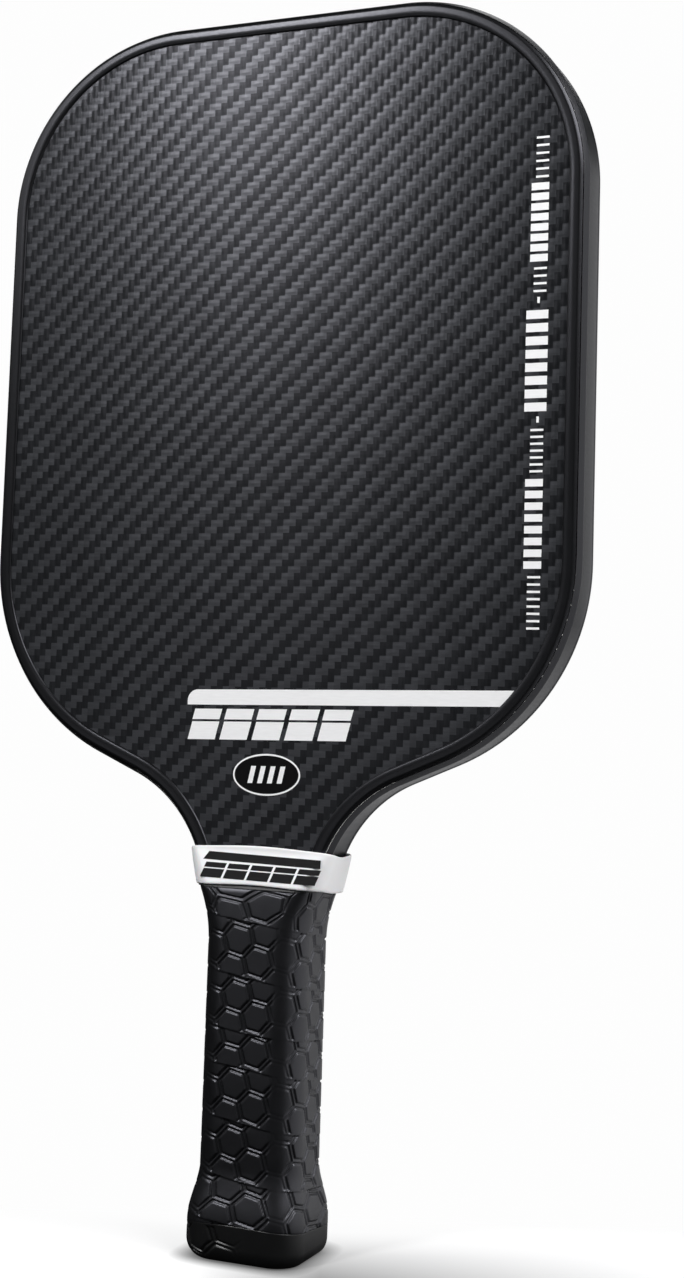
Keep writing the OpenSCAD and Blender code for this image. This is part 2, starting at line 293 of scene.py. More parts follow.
class Nodes:
    """Builds the node tree of a new material or world: each call adds a node."""

    def __init__(self, name, blocks=bpy.data.materials):
        self.owner = blocks.new(name)
        self.owner.use_nodes = True
        self.tree = self.owner.node_tree
        self.tree.nodes.clear()
        self.place = self.add("TexCoord").outputs["Object"]

    def add(self, kind, inputs=None, **settings):
        node = self.tree.nodes.new("ShaderNode" + kind)
        for key, value in settings.items():
            setattr(node, key, value)
        for key, value in (inputs or {}).items():
            if isinstance(value, bpy.types.NodeSocket):
                self.tree.links.new(value, node.inputs[key])
            else:
                node.inputs[key].default_value = value
        return node

    def maths(self, operation, *values):
        return self.add("Math", dict(enumerate(values)), operation=operation).outputs[0]

    def scaled(self, x, y, z):
        """The object's coordinates, multiplied along each axis."""
        return self.add("Mapping", {"Vector": self.place, "Scale": (x, y, z)}).outputs[0]

    def noise(self, scale, detail=3.0, place=None):
        inputs = {"Vector": place or self.place, "Scale": scale, "Detail": detail}
        return self.add("TexNoise", inputs).outputs["Fac"]

    def span(self, value, low, high, start=0.0, end=1.0):
        """A value between start and end carried over to the range from low to high, and held there."""
        inputs = {"Value": value, "From Min": start, "From Max": end, "To Min": low, "To Max": high}
        return self.add("MapRange", inputs).outputs[0]

    def component(self, axis):
        """One of the object's coordinates, in metres."""
        return self.add("SeparateXYZ", {"Vector": self.place}).outputs[axis]

    def distance_along(self, direction):
        """How far a point lies from the origin in a direction, in metres."""
        return self.vector("DOT_PRODUCT", direction)

    def vector(self, operation, *others):
        """A number worked out from the object's coordinates and other vectors."""
        inputs = dict(enumerate((self.place, *others)))
        return self.add("VectorMath", inputs, operation=operation).outputs["Value"]

    def even_grey(self, level):
        """A grey colour from a computed level."""
        return self.add("CombineColor", dict.fromkeys(range(3), level)).outputs[0]

    def toned(self, colour, tone):
        """A colour, brighter or darker by a factor."""
        return self.add("HueSaturation", {"Color": colour, "Value": tone}).outputs[0]

    def blend(self, factor, first, second):
        """Mixes two colours."""
        return self.add("Mix", {0: factor, 6: first, 7: second}, data_type="RGBA").outputs[2]

    def bump(self, height, strength, distance_mm, normal=None):
        inputs = {"Height": height, "Strength": strength, "Distance": distance_mm * MM}
        if normal is not None:
            inputs["Normal"] = normal
        return self.add("Bump", inputs).outputs[0]

    def for_camera(self, seen, otherwise):
        """One shader for camera rays and another for all others."""
        camera_ray = self.add("LightPath").outputs["Is Camera Ray"]
        return self.add("MixShader", {0: camera_ray, 1: otherwise, 2: seen}).outputs[0]

    def finish(self, **inputs):
        """Ends the tree with a principled surface."""
        named = {key.replace("_", " "): value for key, value in inputs.items()}
        surface = self.add("BsdfPrincipled", named)
        self.add("OutputMaterial", {"Surface": surface.outputs[0]})
        return self.owner


def grey(value, blue=0.0):
    """A neutral colour, a little bluish if asked."""
    return (value, value * (1 + blue * 0.4), value * (1 + blue), 1.0)


def moulded(name, colour, roughness, grain=900.0, grain_depth=0.02, specular=0.5):
    """Plain moulded plastic or rubber with a fine grain and slight changes of tone."""
    n = Nodes(name)
    shade = n.toned(colour, n.span(n.noise(60.0), 0.85, 1.15))
    rough = n.span(n.noise(180.0), roughness - 0.05, roughness + 0.05)
    normal = n.bump(n.noise(grain, 4.0), 0.6, grain_depth)
    return n.finish(Base_Color=shade, Roughness=rough, Normal=normal, Specular_IOR_Level=specular)


COOL = (0.9, 0.905, 1.0, 1.0)    # tint of what the black surfaces mirror


def twill_pattern(n):
    """A number for each tow, and 1 where the tow that shows lies across, 0 where it runs up."""
    column = n.maths("FLOOR", n.maths("DIVIDE", n.component("X"), TOW * MM))
    row = n.maths("FLOOR", n.maths("DIVIDE", n.component("Z"), TOW * MM))
    step = n.maths("FLOORED_MODULO", n.maths("SUBTRACT", column, row), 4.0)
    tow = n.add("CombineXYZ", {"X": column, "Y": row}).outputs[0]
    return tow, n.maths("LESS_THAN", step, 1.5)


def carbon():
    """Raw 2x2 twill: a tow lying across is painted lighter than one that runs up the paddle, a painted
    sheen for the light that the crossing tows catch.
    """
    n = Nodes("carbon_twill")
    tow, weft = twill_pattern(n)
    fibres_across = n.noise(1.0, 2.0, n.scaled(260.0, 260.0, 4200.0))
    fibres_up = n.noise(1.0, 2.0, n.scaled(4200.0, 260.0, 260.0))
    fibre = n.add("Mix", {0: weft, 2: fibres_up, 3: fibres_across}).outputs[0]
    speckle = n.add("TexWhiteNoise", {"Vector": tow}, noise_dimensions="3D").outputs["Value"]
    light_share = n.maths("MULTIPLY", n.span(fibre, 0.75, 1.25), n.span(speckle, 0.86, 1.14))
    cloud = n.span(n.noise(55.0, 2.0), 0.7, 1.3)
    # painted sheen: the tows that lie across get a lighter base colour than those that run up, standing
    # in for the brighter reflection that their direction gives them
    shade = n.blend(weft, grey(0.0075, 0.2), grey(0.02, 0.16))
    colour = n.toned(shade, n.maths("MULTIPLY", light_share, cloud))
    sheen = n.maths("MULTIPLY", n.span(weft, 0.12, 0.31), light_share)
    rougher_upwards = n.add("CombineXYZ", {"Z": 1.0}).outputs[0]
    peel = n.bump(n.noise(2600.0, 2.0), 0.15, 0.015, n.bump(fibre, 0.2, 0.02))
    return n.finish(Base_Color=colour, Roughness=0.316, Anisotropic=0.68, Tangent=rougher_upwards,
                    Normal=peel, Specular_IOR_Level=sheen, Specular_Tint=COOL)


def satin_guard():
    """Satin black plastic with fine streaks that run from face to face."""
    n = Nodes("guard_satin")
    shade = n.toned(grey(0.0038, 0.12), n.span(n.noise(35.0), 0.8, 1.2))
    streaks = n.noise(1.0, 2.0, n.scaled(900.0, 120.0, 900.0))
    rough = n.span(streaks, 0.27, 0.37)
    normal = n.bump(n.noise(1800.0, 3.0), 0.25, 0.015)
    return n.finish(Base_Color=shade, Roughness=rough, Normal=normal, Specular_IOR_Level=0.36,
                    Specular_Tint=COOL)


def tacky_grip():
    """Embossed polyurethane: near black, with a leathery grain and small changes of sheen."""
    n = Nodes("grip_polyurethane")
    shade = n.toned(grey(0.0025, 0.1), n.span(n.noise(90.0), 0.75, 1.25))
    cells = n.add("TexVoronoi", {"Vector": n.place, "Scale": 1500.0}).outputs["Distance"]
    grain = n.bump(cells, 0.25, 0.025)
    normal = n.bump(n.noise(500.0, 3.0), 0.25, 0.03, grain)
    rough = n.span(n.noise(260.0), 0.34, 0.47)
    return n.finish(Base_Color=shade, Roughness=rough, Normal=normal, Specular_IOR_Level=0.6,
                    Specular_Tint=COOL)


def white_rubber():
    """Stretched white silicone, a little translucent."""
    n = Nodes("collar_rubber")
    shade = n.toned((0.79, 0.79, 0.795, 1.0), n.span(n.noise(40.0), 0.96, 1.03))
    normal = n.bump(n.noise(1400.0, 3.0), 0.2, 0.015)
    rough = n.span(n.noise(220.0), 0.42, 0.55)
    return n.finish(Base_Color=shade, Roughness=rough, Normal=normal, Subsurface_Weight=0.08,
                    Subsurface_Scale=0.6 * MM, Specular_IOR_Level=0.4)


def ink(name, colour, specular=0.5):
    """Screen-printed ink that lets a little of the weave's relief show."""
    n = Nodes(name)
    weave = n.noise(1.0, 2.0, n.scaled(300.0, 300.0, 2400.0))
    shade = n.toned(colour, n.span(weave, 0.93, 1.04))
    rough = n.span(weave, 0.45, 0.6)
    return n.finish(Base_Color=shade, Roughness=rough, Normal=n.bump(weave, 0.3, 0.02),
                    Specular_IOR_Level=specular)


def brushed_steel():
    """Drawn wire with fine lines across it."""
    n = Nodes("staple_steel")
    lines = n.noise(1.0, 2.0, n.scaled(6000.0, 400.0, 400.0))
    return n.finish(Base_Color=grey(0.55), Metallic=1.0, Roughness=n.span(lines, 0.25, 0.45),
                    Normal=n.bump(lines, 0.2, 0.01))


CARBON = carbon()
GUARD = satin_guard()
GRIP = tacky_grip()
CAP = moulded("cap_rubber", grey(0.003, 0.1), 0.4, grain=1400.0)
RUBBER = white_rubber()
WHITE_INK = ink("print_white", (0.97, 0.97, 0.97, 1.0))
BLACK_INK = ink("print_black", (0.003, 0.003, 0.0034, 1.0), specular=0.08)

# ---- Carbon face sheets ----


def inside_loop(points, loop):
    """Which points lie inside a closed polyline, by counting the sides crossed."""
    x, z = points[:, 0], points[:, 1]
    result = np.zeros(len(points), bool)
    for a, b in zip(loop, np.roll(loop, -1, 0)):
        if a[1] != b[1]:
            spans = (a[1] > z) != (b[1] > z)
            result ^= spans & (x < a[0] + (z - a[1]) * (b[0] - a[0]) / (b[1] - a[1]))
    return result


def nearest_on_loop(points, loop):
    """The nearest point of a closed polyline to each of the points."""
    best = np.full(len(points), np.inf)
    found = points.copy()
    for a, b in zip(loop, np.roll(loop, -1, 0)):
        side = b - a
        t = np.clip((points - a) @ side / (side @ side), 0, 1)
        foot = a + t[:, None] * side
        distance = np.linalg.norm(points - foot, axis=1)
        closer = distance < best
        best[closer] = distance[closer]
        found[closer] = foot[closer]
    return found


def weft_on_top(column, row):
    """Whether the tow that lies across is the upper one, here in the twill."""
    return (column - row) % 4 < 2


def twill_depth(a, b):
    """Depth below the crests at grid point (a, b), where a tow is three steps wide."""
    column, row = a // 3, b // 3
    here = weft_on_top(column, row)
    left = weft_on_top(column - 1, row)
    below = weft_on_top(column, row - 1)
    at_side = a % 3 == 0
    at_foot = b % 3 == 0
    groove = (at_side & ~(here & left)) | (at_foot & (here | below)) | (at_side & at_foot)
    return TWILL_DEPTH * groove


def twill_grid():
    """Points of a sheet's outer surface, three steps to a tow, and the quads between them."""
    step = TOW / 3
    reach = int(HALF_W / step)
    across = np.arange(-reach, reach + 1)
    up = np.arange(int(PANEL_FOOT / step), int(TIP_Z / step) + 1)
    a, b = np.meshgrid(across, up)
    flat = np.column_stack((a.ravel(), b.ravel())) * step
    ok = inside_loop(flat, panel_loop(PANEL_INSET + step / 2)).reshape(a.shape)
    cell = ok[:-1, :-1] & ok[1:, :-1] & ok[:-1, 1:] & ok[1:, 1:]
    number = np.arange(a.size).reshape(a.shape)
    quads = np.stack((number[:-1, :-1], number[:-1, 1:], number[1:, 1:], number[1:, :-1]), -1)[cell]
    uses = np.bincount(quads.ravel(), minlength=a.size)
    rim = np.flatnonzero((uses > 0) & (uses < 4))
    flat[rim] = nearest_on_loop(flat[rim], panel_loop(PANEL_INSET))
    used = np.flatnonzero(uses)
    renumber = np.zeros(a.size, int)
    renumber[used] = np.arange(len(used))
    out = FACE_Y - twill_depth(a.ravel(), b.ravel())[used]
    return np.column_stack((flat[used, 0], out, flat[used, 1])), renumber[quads]


def face_sheet(name, side, node):
    """One carbon sheet: the twill's relief outside, a flat back, and a rim on the panel's outline."""
    points, quads = twill_grid()
    mesh = bmesh.new()
    made = [mesh.verts.new(p) for p in points]
    for quad in quads:
        mesh.faces.new([made[i] for i in quad])
    bmesh.ops.remove_doubles(mesh, verts=mesh.verts, dist=0.02)
    rim = [e for e in mesh.edges if e.is_boundary]
    for item in bmesh.ops.extrude_edge_only(mesh, edges=rim)["geom"]:
        if isinstance(item, bmesh.types.BMVert):
            item.co.y = SHEET_IN_Y
    back = [e for e in mesh.edges if e.is_boundary]
    bmesh.ops.edgeloop_fill(mesh, edges=back)
    mesh.verts.index_update()
    points = np.array([v.co for v in mesh.verts]) * (1, side, 1)
    faces = [[v.index for v in f.verts] for f in mesh.faces]
    mesh.free()
    return make_piece(name, points, faces, CARBON, node=node)


# ---- Prints ----


def place_on_face(points, lift=INK):
    """Carries flat points onto the front sheet, with the prints' slight tilt."""
    offset = np.asarray(points, float) - PRINT_PIVOT
    turned = offset @ np.array((along(PRINT_TILT), along(PRINT_TILT + 90)))
    return place_upright(turned + PRINT_PIVOT, lift)


def place_upright(points, lift=INK):
    """The same with no tilt, for the prints beside the edge."""
    points = np.asarray(points, float)
    return np.column_stack((points[:, 0], np.full(len(points), -(FACE_Y + lift)), points[:, 1]))


def place_on_collar(points):
    """Carries points onto the front of the collar, clear of its crown."""
    points = np.asarray(points, float)
    out = collar_half(points[:, 1])[1] + COLLAR_T + COLLAR_CROWN + FIT_GAP
    return np.column_stack((points[:, 0], -out, points[:, 1]))


def slab(top, root):
    """A closed solid between a polygon and its copy that lies root further back."""
    count = len(top)
    faces = [list(range(count)), [count + i for i in reversed(range(count))]]
    faces += [[i, count + i, count + (i + 1) % count, (i + 1) % count] for i in range(count)]
    return np.vstack((top, top + (0.0, root, 0.0))), faces


def ring_slab(outer, inner, root):
    """The same between an outer and an inner outline."""
    count = len(outer)
    back = (0.0, root, 0.0)
    faces = []
    for k in range(4):
        a, b = k * count, (k + 1) % 4 * count
        faces += [[a + i, a + (i + 1) % count, b + (i + 1) % count, b + i] for i in range(count)]
    return np.vstack((outer, inner, inner + back, outer + back)), faces


def print_layer(name, shapes, place, material, root=INK_ROOT, rings=()):
    """Ink as thin closed solids: each shape is a polygon, each ring an outer and an inner outline."""
    solids = [slab(place(shape), root) for shape in shapes]
    solids += [ring_slab(place(outer), place(inner), root) for outer, inner in rings]
    faces = []
    start = 0
    for points, own in solids:
        faces += [[start + i for i in face] for face in own]
        start += len(points)
    stack = np.vstack([points for points, own in solids])
    return make_piece(name, stack, faces, material, sharp_deg=30.0)


def bar(x0, x1, z0, z1, slant=0.0):
    """A bar whose upper side is shifted to the right by slant."""
    return [(x0, z0), (x1, z0), (x1 + slant, z1), (x0 + slant, z1)]


def oval(centre, half_x, half_z):
    """Points round an ellipse."""
    return arc(centre, (half_x, half_z), 0, 360, steps=72)[:-1]


def slanted_blocks(x0, x1, z0, z1, count, gap, slit, slant=2.6):
    """A row of equal slanted blocks, each parted by a thin level slit."""
    width = (x1 - x0 - slant - gap * (count - 1)) / count
    share = 0.62            # of a block's height is below the slit
    middle = z0 + (z1 - z0) * share
    blocks = []
    for k in range(count):
        left = x0 + k * (width + gap)
        blocks.append(bar(left, left + width, z0, middle - slit / 2, slant * share))
        upper = left + slant * share
        blocks.append(bar(upper, upper + width, middle + slit / 2, z1, slant * (1 - share)))
    return blocks


def long_stripe():
    """The stripe across the face: its upper left corner is round, and it ends under the right lip."""
    left, low, high, r = -27.4, 170.7, 175.6, 3.6
    right = HALF_W - PANEL_INSET - 16.0
    corner = arc((left + r, high - r), r, 90, 180, steps=8)
    return [(left, low), (right - 6.5, low), (right, high)] + corner.tolist()


def tick_row(z0, z1, x0, x1, pitch, thickness):
    """Short level ticks, one above another, that fill the height from z0 to z1."""
    count = round((z1 - z0 + pitch - thickness) / pitch)
    pitch = (z1 - z0 - thickness) / (count - 1)
    return [bar(x0, x1, z0 + k * pitch, z0 + k * pitch + thickness) for k in range(count)]


FINE = {"x0": 85.9, "x1": 90.0, "pitch": 2.3, "thickness": 0.7}
BOLD = {"x0": 84.6, "x1": 90.2, "pitch": 3.4, "thickness": 2.3}
WIDE = {"x0": 83.8, "x1": 90.8, "pitch": 3.9, "thickness": 2.7}


def side_ticks():
    """The column beside the right edge: groups of fine and bold ticks parted by dashes."""
    ticks = tick_row(195.8, 212.0, **FINE)
    ticks += tick_row(214.2, 241.6, **BOLD)
    ticks += tick_row(243.6, 257.0, **FINE)
    ticks += [bar(87.7, 88.5, 258.9, 260.8)]
    ticks += tick_row(262.4, 293.8, **WIDE)
    ticks += [bar(87.2, 88.0, 296.0, 297.9)]
    ticks += tick_row(299.4, 307.2, **FINE)
    ticks += tick_row(309.0, 333.8, **BOLD)
    ticks += tick_row(335.4, 348.5, **FINE)
    return ticks


def badge_prints():
    """An oval with a thin white ring, a black field and four slanted bars."""
    badge = (1.0, 148.7)
    bars = [bar(-5.6 + k * 3.4, -3.9 + k * 3.4, 146.0, 151.4, slant=1.3) for k in range(4)]
    ring = (oval(badge, 11.7, 6.6), oval(badge, 11.15, 6.05))
    print_layer("badge_field_print", [oval(badge, 11.5, 6.4)],
                lambda points: place_on_face(points, lift=INK * 0.6), BLACK_INK, root=0.08)
    print_layer("badge_ring_print", bars, place_on_face, WHITE_INK, rings=[ring])


def face_prints():
    """All the marks on the front face."""
    blocks = slanted_blocks(-27.2, 30.6, 159.6, 169.4, count=5, gap=1.7, slit=0.7)
    print_layer("stripe_print", [long_stripe()], place_on_face, WHITE_INK)
    print_layer("block_print", blocks, place_on_face, WHITE_INK)
    print_layer("side_tick_print", side_ticks(), place_upright, WHITE_INK)
    badge_prints()


# ---- Edge guard ----


def guard_profile():
    """The guard's section as [inset, y] points, all the way round."""
    skin = np.array([(0.3, 0.0), (0.3, RIDGE_Y - 1.1), (0.02, RIDGE_Y - 0.55), (0.0, RIDGE_Y),
                     (1.5, LIP_Y - 0.85), (2.5, LIP_Y - 0.12), (4.3, LIP_Y), (5.35, LIP_Y - 0.16),
                     (5.75, FACE_Y + 0.3), (LIP_REACH, FACE_Y)])
    outer = rounded(skin, cut=0.42)
    inner = np.array([(GUARD_WALL, FACE_Y), (GUARD_WALL, -FACE_Y)])
    return np.vstack((outer[:0:-1] * (1, -1), outer, inner))


def edge_guard():
    """The guard, swept round the outline from the left foot over the tip to the right foot."""
    columns = []
    for inset, y in guard_profile():
        line = full_outline(inset, GUARD_FOOT)
        columns.append(np.column_stack((line[:, 0], np.full(len(line), y), line[:, 1])))
    rings = np.stack(columns, 1)
    faces = capped_faces(*rings.shape[:2])
    return make_piece("edge_guard_trim", rings.reshape(-1, 3), faces, GUARD,
                      sharp_deg=50.0, node="edge_guard")


# ---- Rounded sections of the handle ----


FRONT = -90      # direction out of a section's front, in degrees


def section_table(straight_x, straight_y, radius, spacing):
    """Points round a section: shares in x and y of its corner centre, direction, distance round.

    The distance is 0 at the middle of the front and grows towards +X."""
    sides = [((1, -1), (1, 1), straight_y), ((1, 1), (-1, 1), straight_x),
             ((-1, 1), (-1, -1), straight_y), ((-1, -1), (0, -1), straight_x / 2)]
    spans = [(straight_x / 2, FRONT, FRONT, (0, -1), (1, -1))]
    for k, (corner, following, straight) in enumerate(sides):
        turn = FRONT + 90 * k
        spans.append((math.radians(90) * radius, turn, turn + 90, corner, corner))
        spans.append((straight, turn + 90, turn + 90, corner, following))
    rows = []
    travelled = 0.0
    for length, turn, turn_end, share, share_end in spans:
        count = max(2, round(length / spacing))
        for t in np.arange(count) / count:
            x, y = (a + (b - a) * t for a, b in zip(share, share_end))
            rows.append((x, y, turn + (turn_end - turn) * t, travelled + length * t))
        travelled += length
    table = np.array(rows, float)
    return table[:, 0], table[:, 1], np.radians(table[:, 2]), table[:, 3], travelled


def section_points(table, half_x, half_y, radius, offset=0.0):
    """Points of the section with these half sizes; every size may differ from point to point."""
    share_x, share_y, turn = table[:3]
    reach = radius + offset
    return np.stack((share_x * (half_x - radius) + reach * np.cos(turn),
                     share_y * (half_y - radius) + reach * np.sin(turn)), -1)


def handle_table(spacing):
    """The section table of the handle's shaft."""
    straight = [2 * (half - CORNER_R) for half in SHAFT_HALF]
    return section_table(*straight, CORNER_R, spacing)


def lap_share(distance, perimeter):
    """Distance round as a share of a lap, from -0.5 to 0.5 with 0 at the middle of the front."""
    return (distance / perimeter + 0.5) % 1.0 - 0.5


def flare_half(z):
    """Half sizes of the butt's flare."""
    t = smoothstep(z, *FLARE)
    return tuple(butt + (shaft - butt) * t for butt, shaft in zip(BUTT_HALF, SHAFT_HALF))


def neck_spread(z):
    """Grows from 0 on the grip's straight part to 1 at the collar's foot."""
    return np.clip((z - WIDEN_Z) / (COLLAR_FOOT - WIDEN_Z), 0, 1) ** 2


def grip_half(z):
    """Half sizes of the grip's surface: the flare below, the shaft, and the spread to the neck."""
    above = np.clip(z - COLLAR_FOOT, 0, None)
    return tuple(half + gain * neck_spread(z) + slope * above
                 for half, gain, slope in zip(flare_half(z), NECK_GAIN, COLLAR_GAIN))


def grip_corner(z):
    """Corner radius of the grip."""
    return CORNER_R - NECK_CORNER * neck_spread(z)


def collar_drop(z):
    """0 at the collar's upper end and 1 at its lower end."""
    return (NECK_Z - np.asarray(z, float)) / (NECK_Z - COLLAR_FOOT)


def collar_half(z):
    """Inside half sizes of the collar: wide on the neck, deep on the grip."""
    t = collar_drop(z)
    above = (neck_x(0, NECK_Z) + FIT_GAP, LIP_Y + FIT_GAP)
    below = (HANDLE_HALF[0] + COLLAR_OVER[0], HANDLE_HALF[1] + COLLAR_OVER[1])
    return above[0] + (below[0] - above[0]) * t, above[1] + (below[1] - above[1]) * np.clip(t, 0, None)


def collar_corner(z):
    """Inside corner radius of the collar."""
    low, high = COLLAR_CORNER
    return high + (low - high) * np.clip(collar_drop(z), 0, 1)


# ---- Wrap of the cushion grip ----


def seam_height(turn):
    """Height of the wrap's seam after this many turns down from the top."""
    return np.interp(turn, np.arange(len(SEAM_Z)), SEAM_Z)


def turn_at(z):
    """How many turns down from the top the wrap has made at height z, at the middle of the front."""
    return np.interp(-np.asarray(z), -np.array(SEAM_Z), np.arange(len(SEAM_Z)))


def pad_margin(x, z, perimeter):
    """Distance from the line midway between two pads, for a point of the unrolled strip."""
    run = math.hypot(perimeter, TURN)
    m, n = LATTICE
    pitch = run / math.sqrt(m * m + n * n + m * n)
    lean = math.atan2(-TURN, perimeter) - math.atan2((n - m) * 0.5, (m + n) * math.sqrt(0.75))
    u_dir = lean + math.radians(30)
    u = x * math.cos(u_dir) + z * math.sin(u_dir)
    v = -x * math.sin(u_dir) + z * math.cos(u_dir)
    best = np.full(np.shape(u), np.inf)
    margin = np.zeros(np.shape(u))
    for shift in (0.0, 0.5):
        du = u / pitch + shift
        dv = v / (pitch * math.sqrt(3)) + shift
        du = (du - np.round(du)) * pitch
        dv = (dv - np.round(dv)) * pitch * math.sqrt(3)
        reach = np.maximum(np.abs(du), np.abs(du) / 2 + np.abs(dv) * math.sqrt(0.75))
        distance = du * du + dv * dv
        closer = distance < best
        best = np.where(closer, distance, best)
        margin = np.where(closer, pitch / 2 - reach, margin)
    return margin


def emboss(margin):
    """Height of the embossing: flat pads, and between them a groove, a ridge and a groove."""
    pad = smoothstep(margin, *PAD_EDGE)
    ridge = 1 - smoothstep(margin, *RIDGE_EDGE)
    return -GROOVE_DEPTH * (1 - np.maximum(pad, ridge)) - RIDGE_DROP * ridge * (1 - pad)


def wrap_relief(distance, z, perimeter):
    """Height of the wrapped strip's surface over the plain grip."""
    share = lap_share(distance, perimeter)
    turns = turn_at(z) - share
    lower = np.floor(turns) + 1
    above_seam = z - seam_height(lower + share)
    below_next = seam_height(lower - 1 + share) - z
    x = share * perimeter - PAD_AT[0]
    across = above_seam - TURN * share - PAD_AT[1]
    relief = emboss(pad_margin(x, across, perimeter)) * smoothstep(above_seam, *SEAM_FLAT)
    lip = SEAM_LIP[0] * np.exp(-np.maximum(above_seam, 0) / SEAM_LIP[1])
    tuck = SEAM_TUCK[0] * np.exp(-np.maximum(below_next, 0) / SEAM_TUCK[1])
    return relief + lip * smoothstep(above_seam, -0.05, 0.35) - tuck


def rim_height(distance, perimeter):
    """The seam between butt cap and grip, which slopes round the butt."""
    return RIM_Z + RIM_TILT * np.cos(2 * math.pi * distance / perimeter)


def between_ramps(value, rise_start, rise_end, fall_start, fall_end):
    """Rises from 0 to 1 over the first ramp and falls back over the second."""
    return smoothstep(value, rise_start, rise_end) * (1 - smoothstep(value, fall_start, fall_end))


def corner_share(table):
    """1 where the wrap is pulled flat over the section's front corners, 0 on its flats."""
    turn = (np.degrees(table[2]) + 270.0) % 360.0 - 180.0
    left = LEFT_PULL_SHARE * between_ramps(-turn, *LEFT_PULL)
    return np.maximum(between_ramps(turn, *RIGHT_PULL), left)


def cushion_grip():
    """The wound grip: embossed outside, plain inside, pressed in under the collar."""
    table = handle_table(POINT_SPACING)
    distance, perimeter = table[3:]
    foot = rim_height(distance, perimeter) + RIM_GAP / 2
    levels = np.linspace(0, 1, round((GRIP_TOP - RIM_Z) / POINT_SPACING))[:, None]
    z = foot + (GRIP_TOP - foot) * levels
    bare = 1 - smoothstep(z, COLLAR_FOOT - 1.0, COLLAR_FOOT + 1.5)
    relief = wrap_relief(distance + 0 * z, z, perimeter) * bare - UNDER_COLLAR * (1 - bare)
    relief = relief * (1 - CORNER_FADE * corner_share(table))
    edge = 0.04 * (1 - smoothstep(z - foot, 0.0, 0.3))
    skin = section_points(table, *grip_half(z), grip_corner(z), relief - edge)
    wall_z = GRIP_TOP + (foot - GRIP_TOP) * np.linspace(0, 1, 24)[:, None]
    wall = section_points(table, *grip_half(wall_z), grip_corner(wall_z), 0.2 - GRIP_T)
    rings = np.vstack((np.dstack((skin, z[..., None])), np.dstack((wall, wall_z[..., None]))))
    faces = tube_faces(*rings.shape[:2])
    return make_piece("wrapped_grip", rings.reshape(-1, 3), faces, GRIP,
                      sharp_deg=80.0, node="cushion_grip")


# ---- Butt cap ----


def cap_rounding(z, width, height):
    """How far the butt's rounded bottom edge is set in at height z."""
    t = np.clip(1 - z / height, 0, 1)
    return width * (1 - np.sqrt(1 - t * t))


def level_ring(table, half, radius, offset, z):
    """Points round one level of the cap; its height may differ from point to point."""
    flat = section_points(table, *half, radius, offset)
    return np.column_stack((flat, np.broadcast_to(z, table[3].shape)))


def cap_inside(table, rim):
    """The socket round the handle, its top, and the sleeve under the grip down to the seam."""
    socket = [half + FIT_GAP for half in HANDLE_HALF]
    under_grip = -GRIP_T - 0.1
    rings = [level_ring(table, socket, 3.0, 0.0, z) for z in (CAP_FLOOR, CAP_TOP)]
    for z in [*np.linspace(CAP_TOP, rim.max() + 0.6, 10), rim]:
        rings.append(level_ring(table, flare_half(z), CORNER_R, under_grip, z))
    return rings


def cap_outside(table, rim):
    """The outside, from the seam down over the rounded edge to the flat end."""
    share = lap_share(table[3], table[4])
    shown = between_ramps(share, *OVER_CAP)
    x = share * table[4] - PAD_AT[0]
    rings = []
    for drop in np.linspace(0, 1, 56) ** 1.15:
        z = rim * (1 - drop)
        pads = emboss(pad_margin(x, z - CAP_PAD_Z, table[4]))
        pads = pads * shown * smoothstep(z, 0.8, 3.0) * smoothstep(rim - z, 0.4, 1.2)
        edge = 0.12 * (1 - 0.8 * shown) * (1 - smoothstep(rim - z, 0.0, 0.12))
        left = cap_rounding(z, *ROUND_LEFT)
        right = cap_rounding(z, *ROUND_RIGHT)
        face = cap_rounding(z, *ROUND_FACE)
        half_x, half_y = flare_half(z)
        half = (half_x - (left + right) / 2, half_y - face)
        ring = level_ring(table, half, CORNER_R - right, pads - edge, z)
        rings.append(ring + np.outer((left - right) / 2, (1.0, 0.0, 0.0)))
    return rings


def cap_end(outer, toward):
    """The flat end from its outer ring inwards, and the round recess in its middle."""
    flat = toward[:, :2] / np.linalg.norm(toward[:, :2], axis=1)[:, None] * RECESS_R
    recess = [np.column_stack((flat, np.full(len(flat), z))) for z in (0.0, RECESS_H / 2, RECESS_H)]
    rings = [outer * (1 - share) + recess[0] * share for share in np.linspace(0, 1, 8)[1:]]
    return rings + recess[1:]


def butt_cap():
    """The rubber cap: socket, sleeve under the grip, visible flare and recessed end."""
    table = handle_table(POINT_SPACING)
    rim = rim_height(table[3], table[4]) - RIM_GAP / 2
    rings = cap_inside(table, rim) + cap_outside(table, rim)
    rings += cap_end(rings[-1], rings[0])
    faces = capped_faces(len(rings), len(rim))
    return make_piece("butt_end_cap", np.vstack(rings), faces, CAP,
                      sharp_deg=50.0, node="butt_cap")


# ---- Collar ----


def collar_profile():
    """The collar's section as (thickness, share of the height) pairs, all the way round."""
    thick, tall = COLLAR_ROUND
    outer = COLLAR_T - thick
    high = 1 - tall
    share = np.linspace(0.9, 0.1, 9)
    crown = np.column_stack((COLLAR_T + COLLAR_CROWN * np.sin(math.pi * share), share))
    return np.vstack(([(0.0, 0.5)], arc((thick, high), COLLAR_ROUND, 180, 90, steps=3),
                      arc((outer, high), COLLAR_ROUND, 90, 0, steps=3), crown,
                      arc((outer, tall), COLLAR_ROUND, 0, -90, steps=3),
                      arc((thick, tall), COLLAR_ROUND, -90, -180, steps=3)))


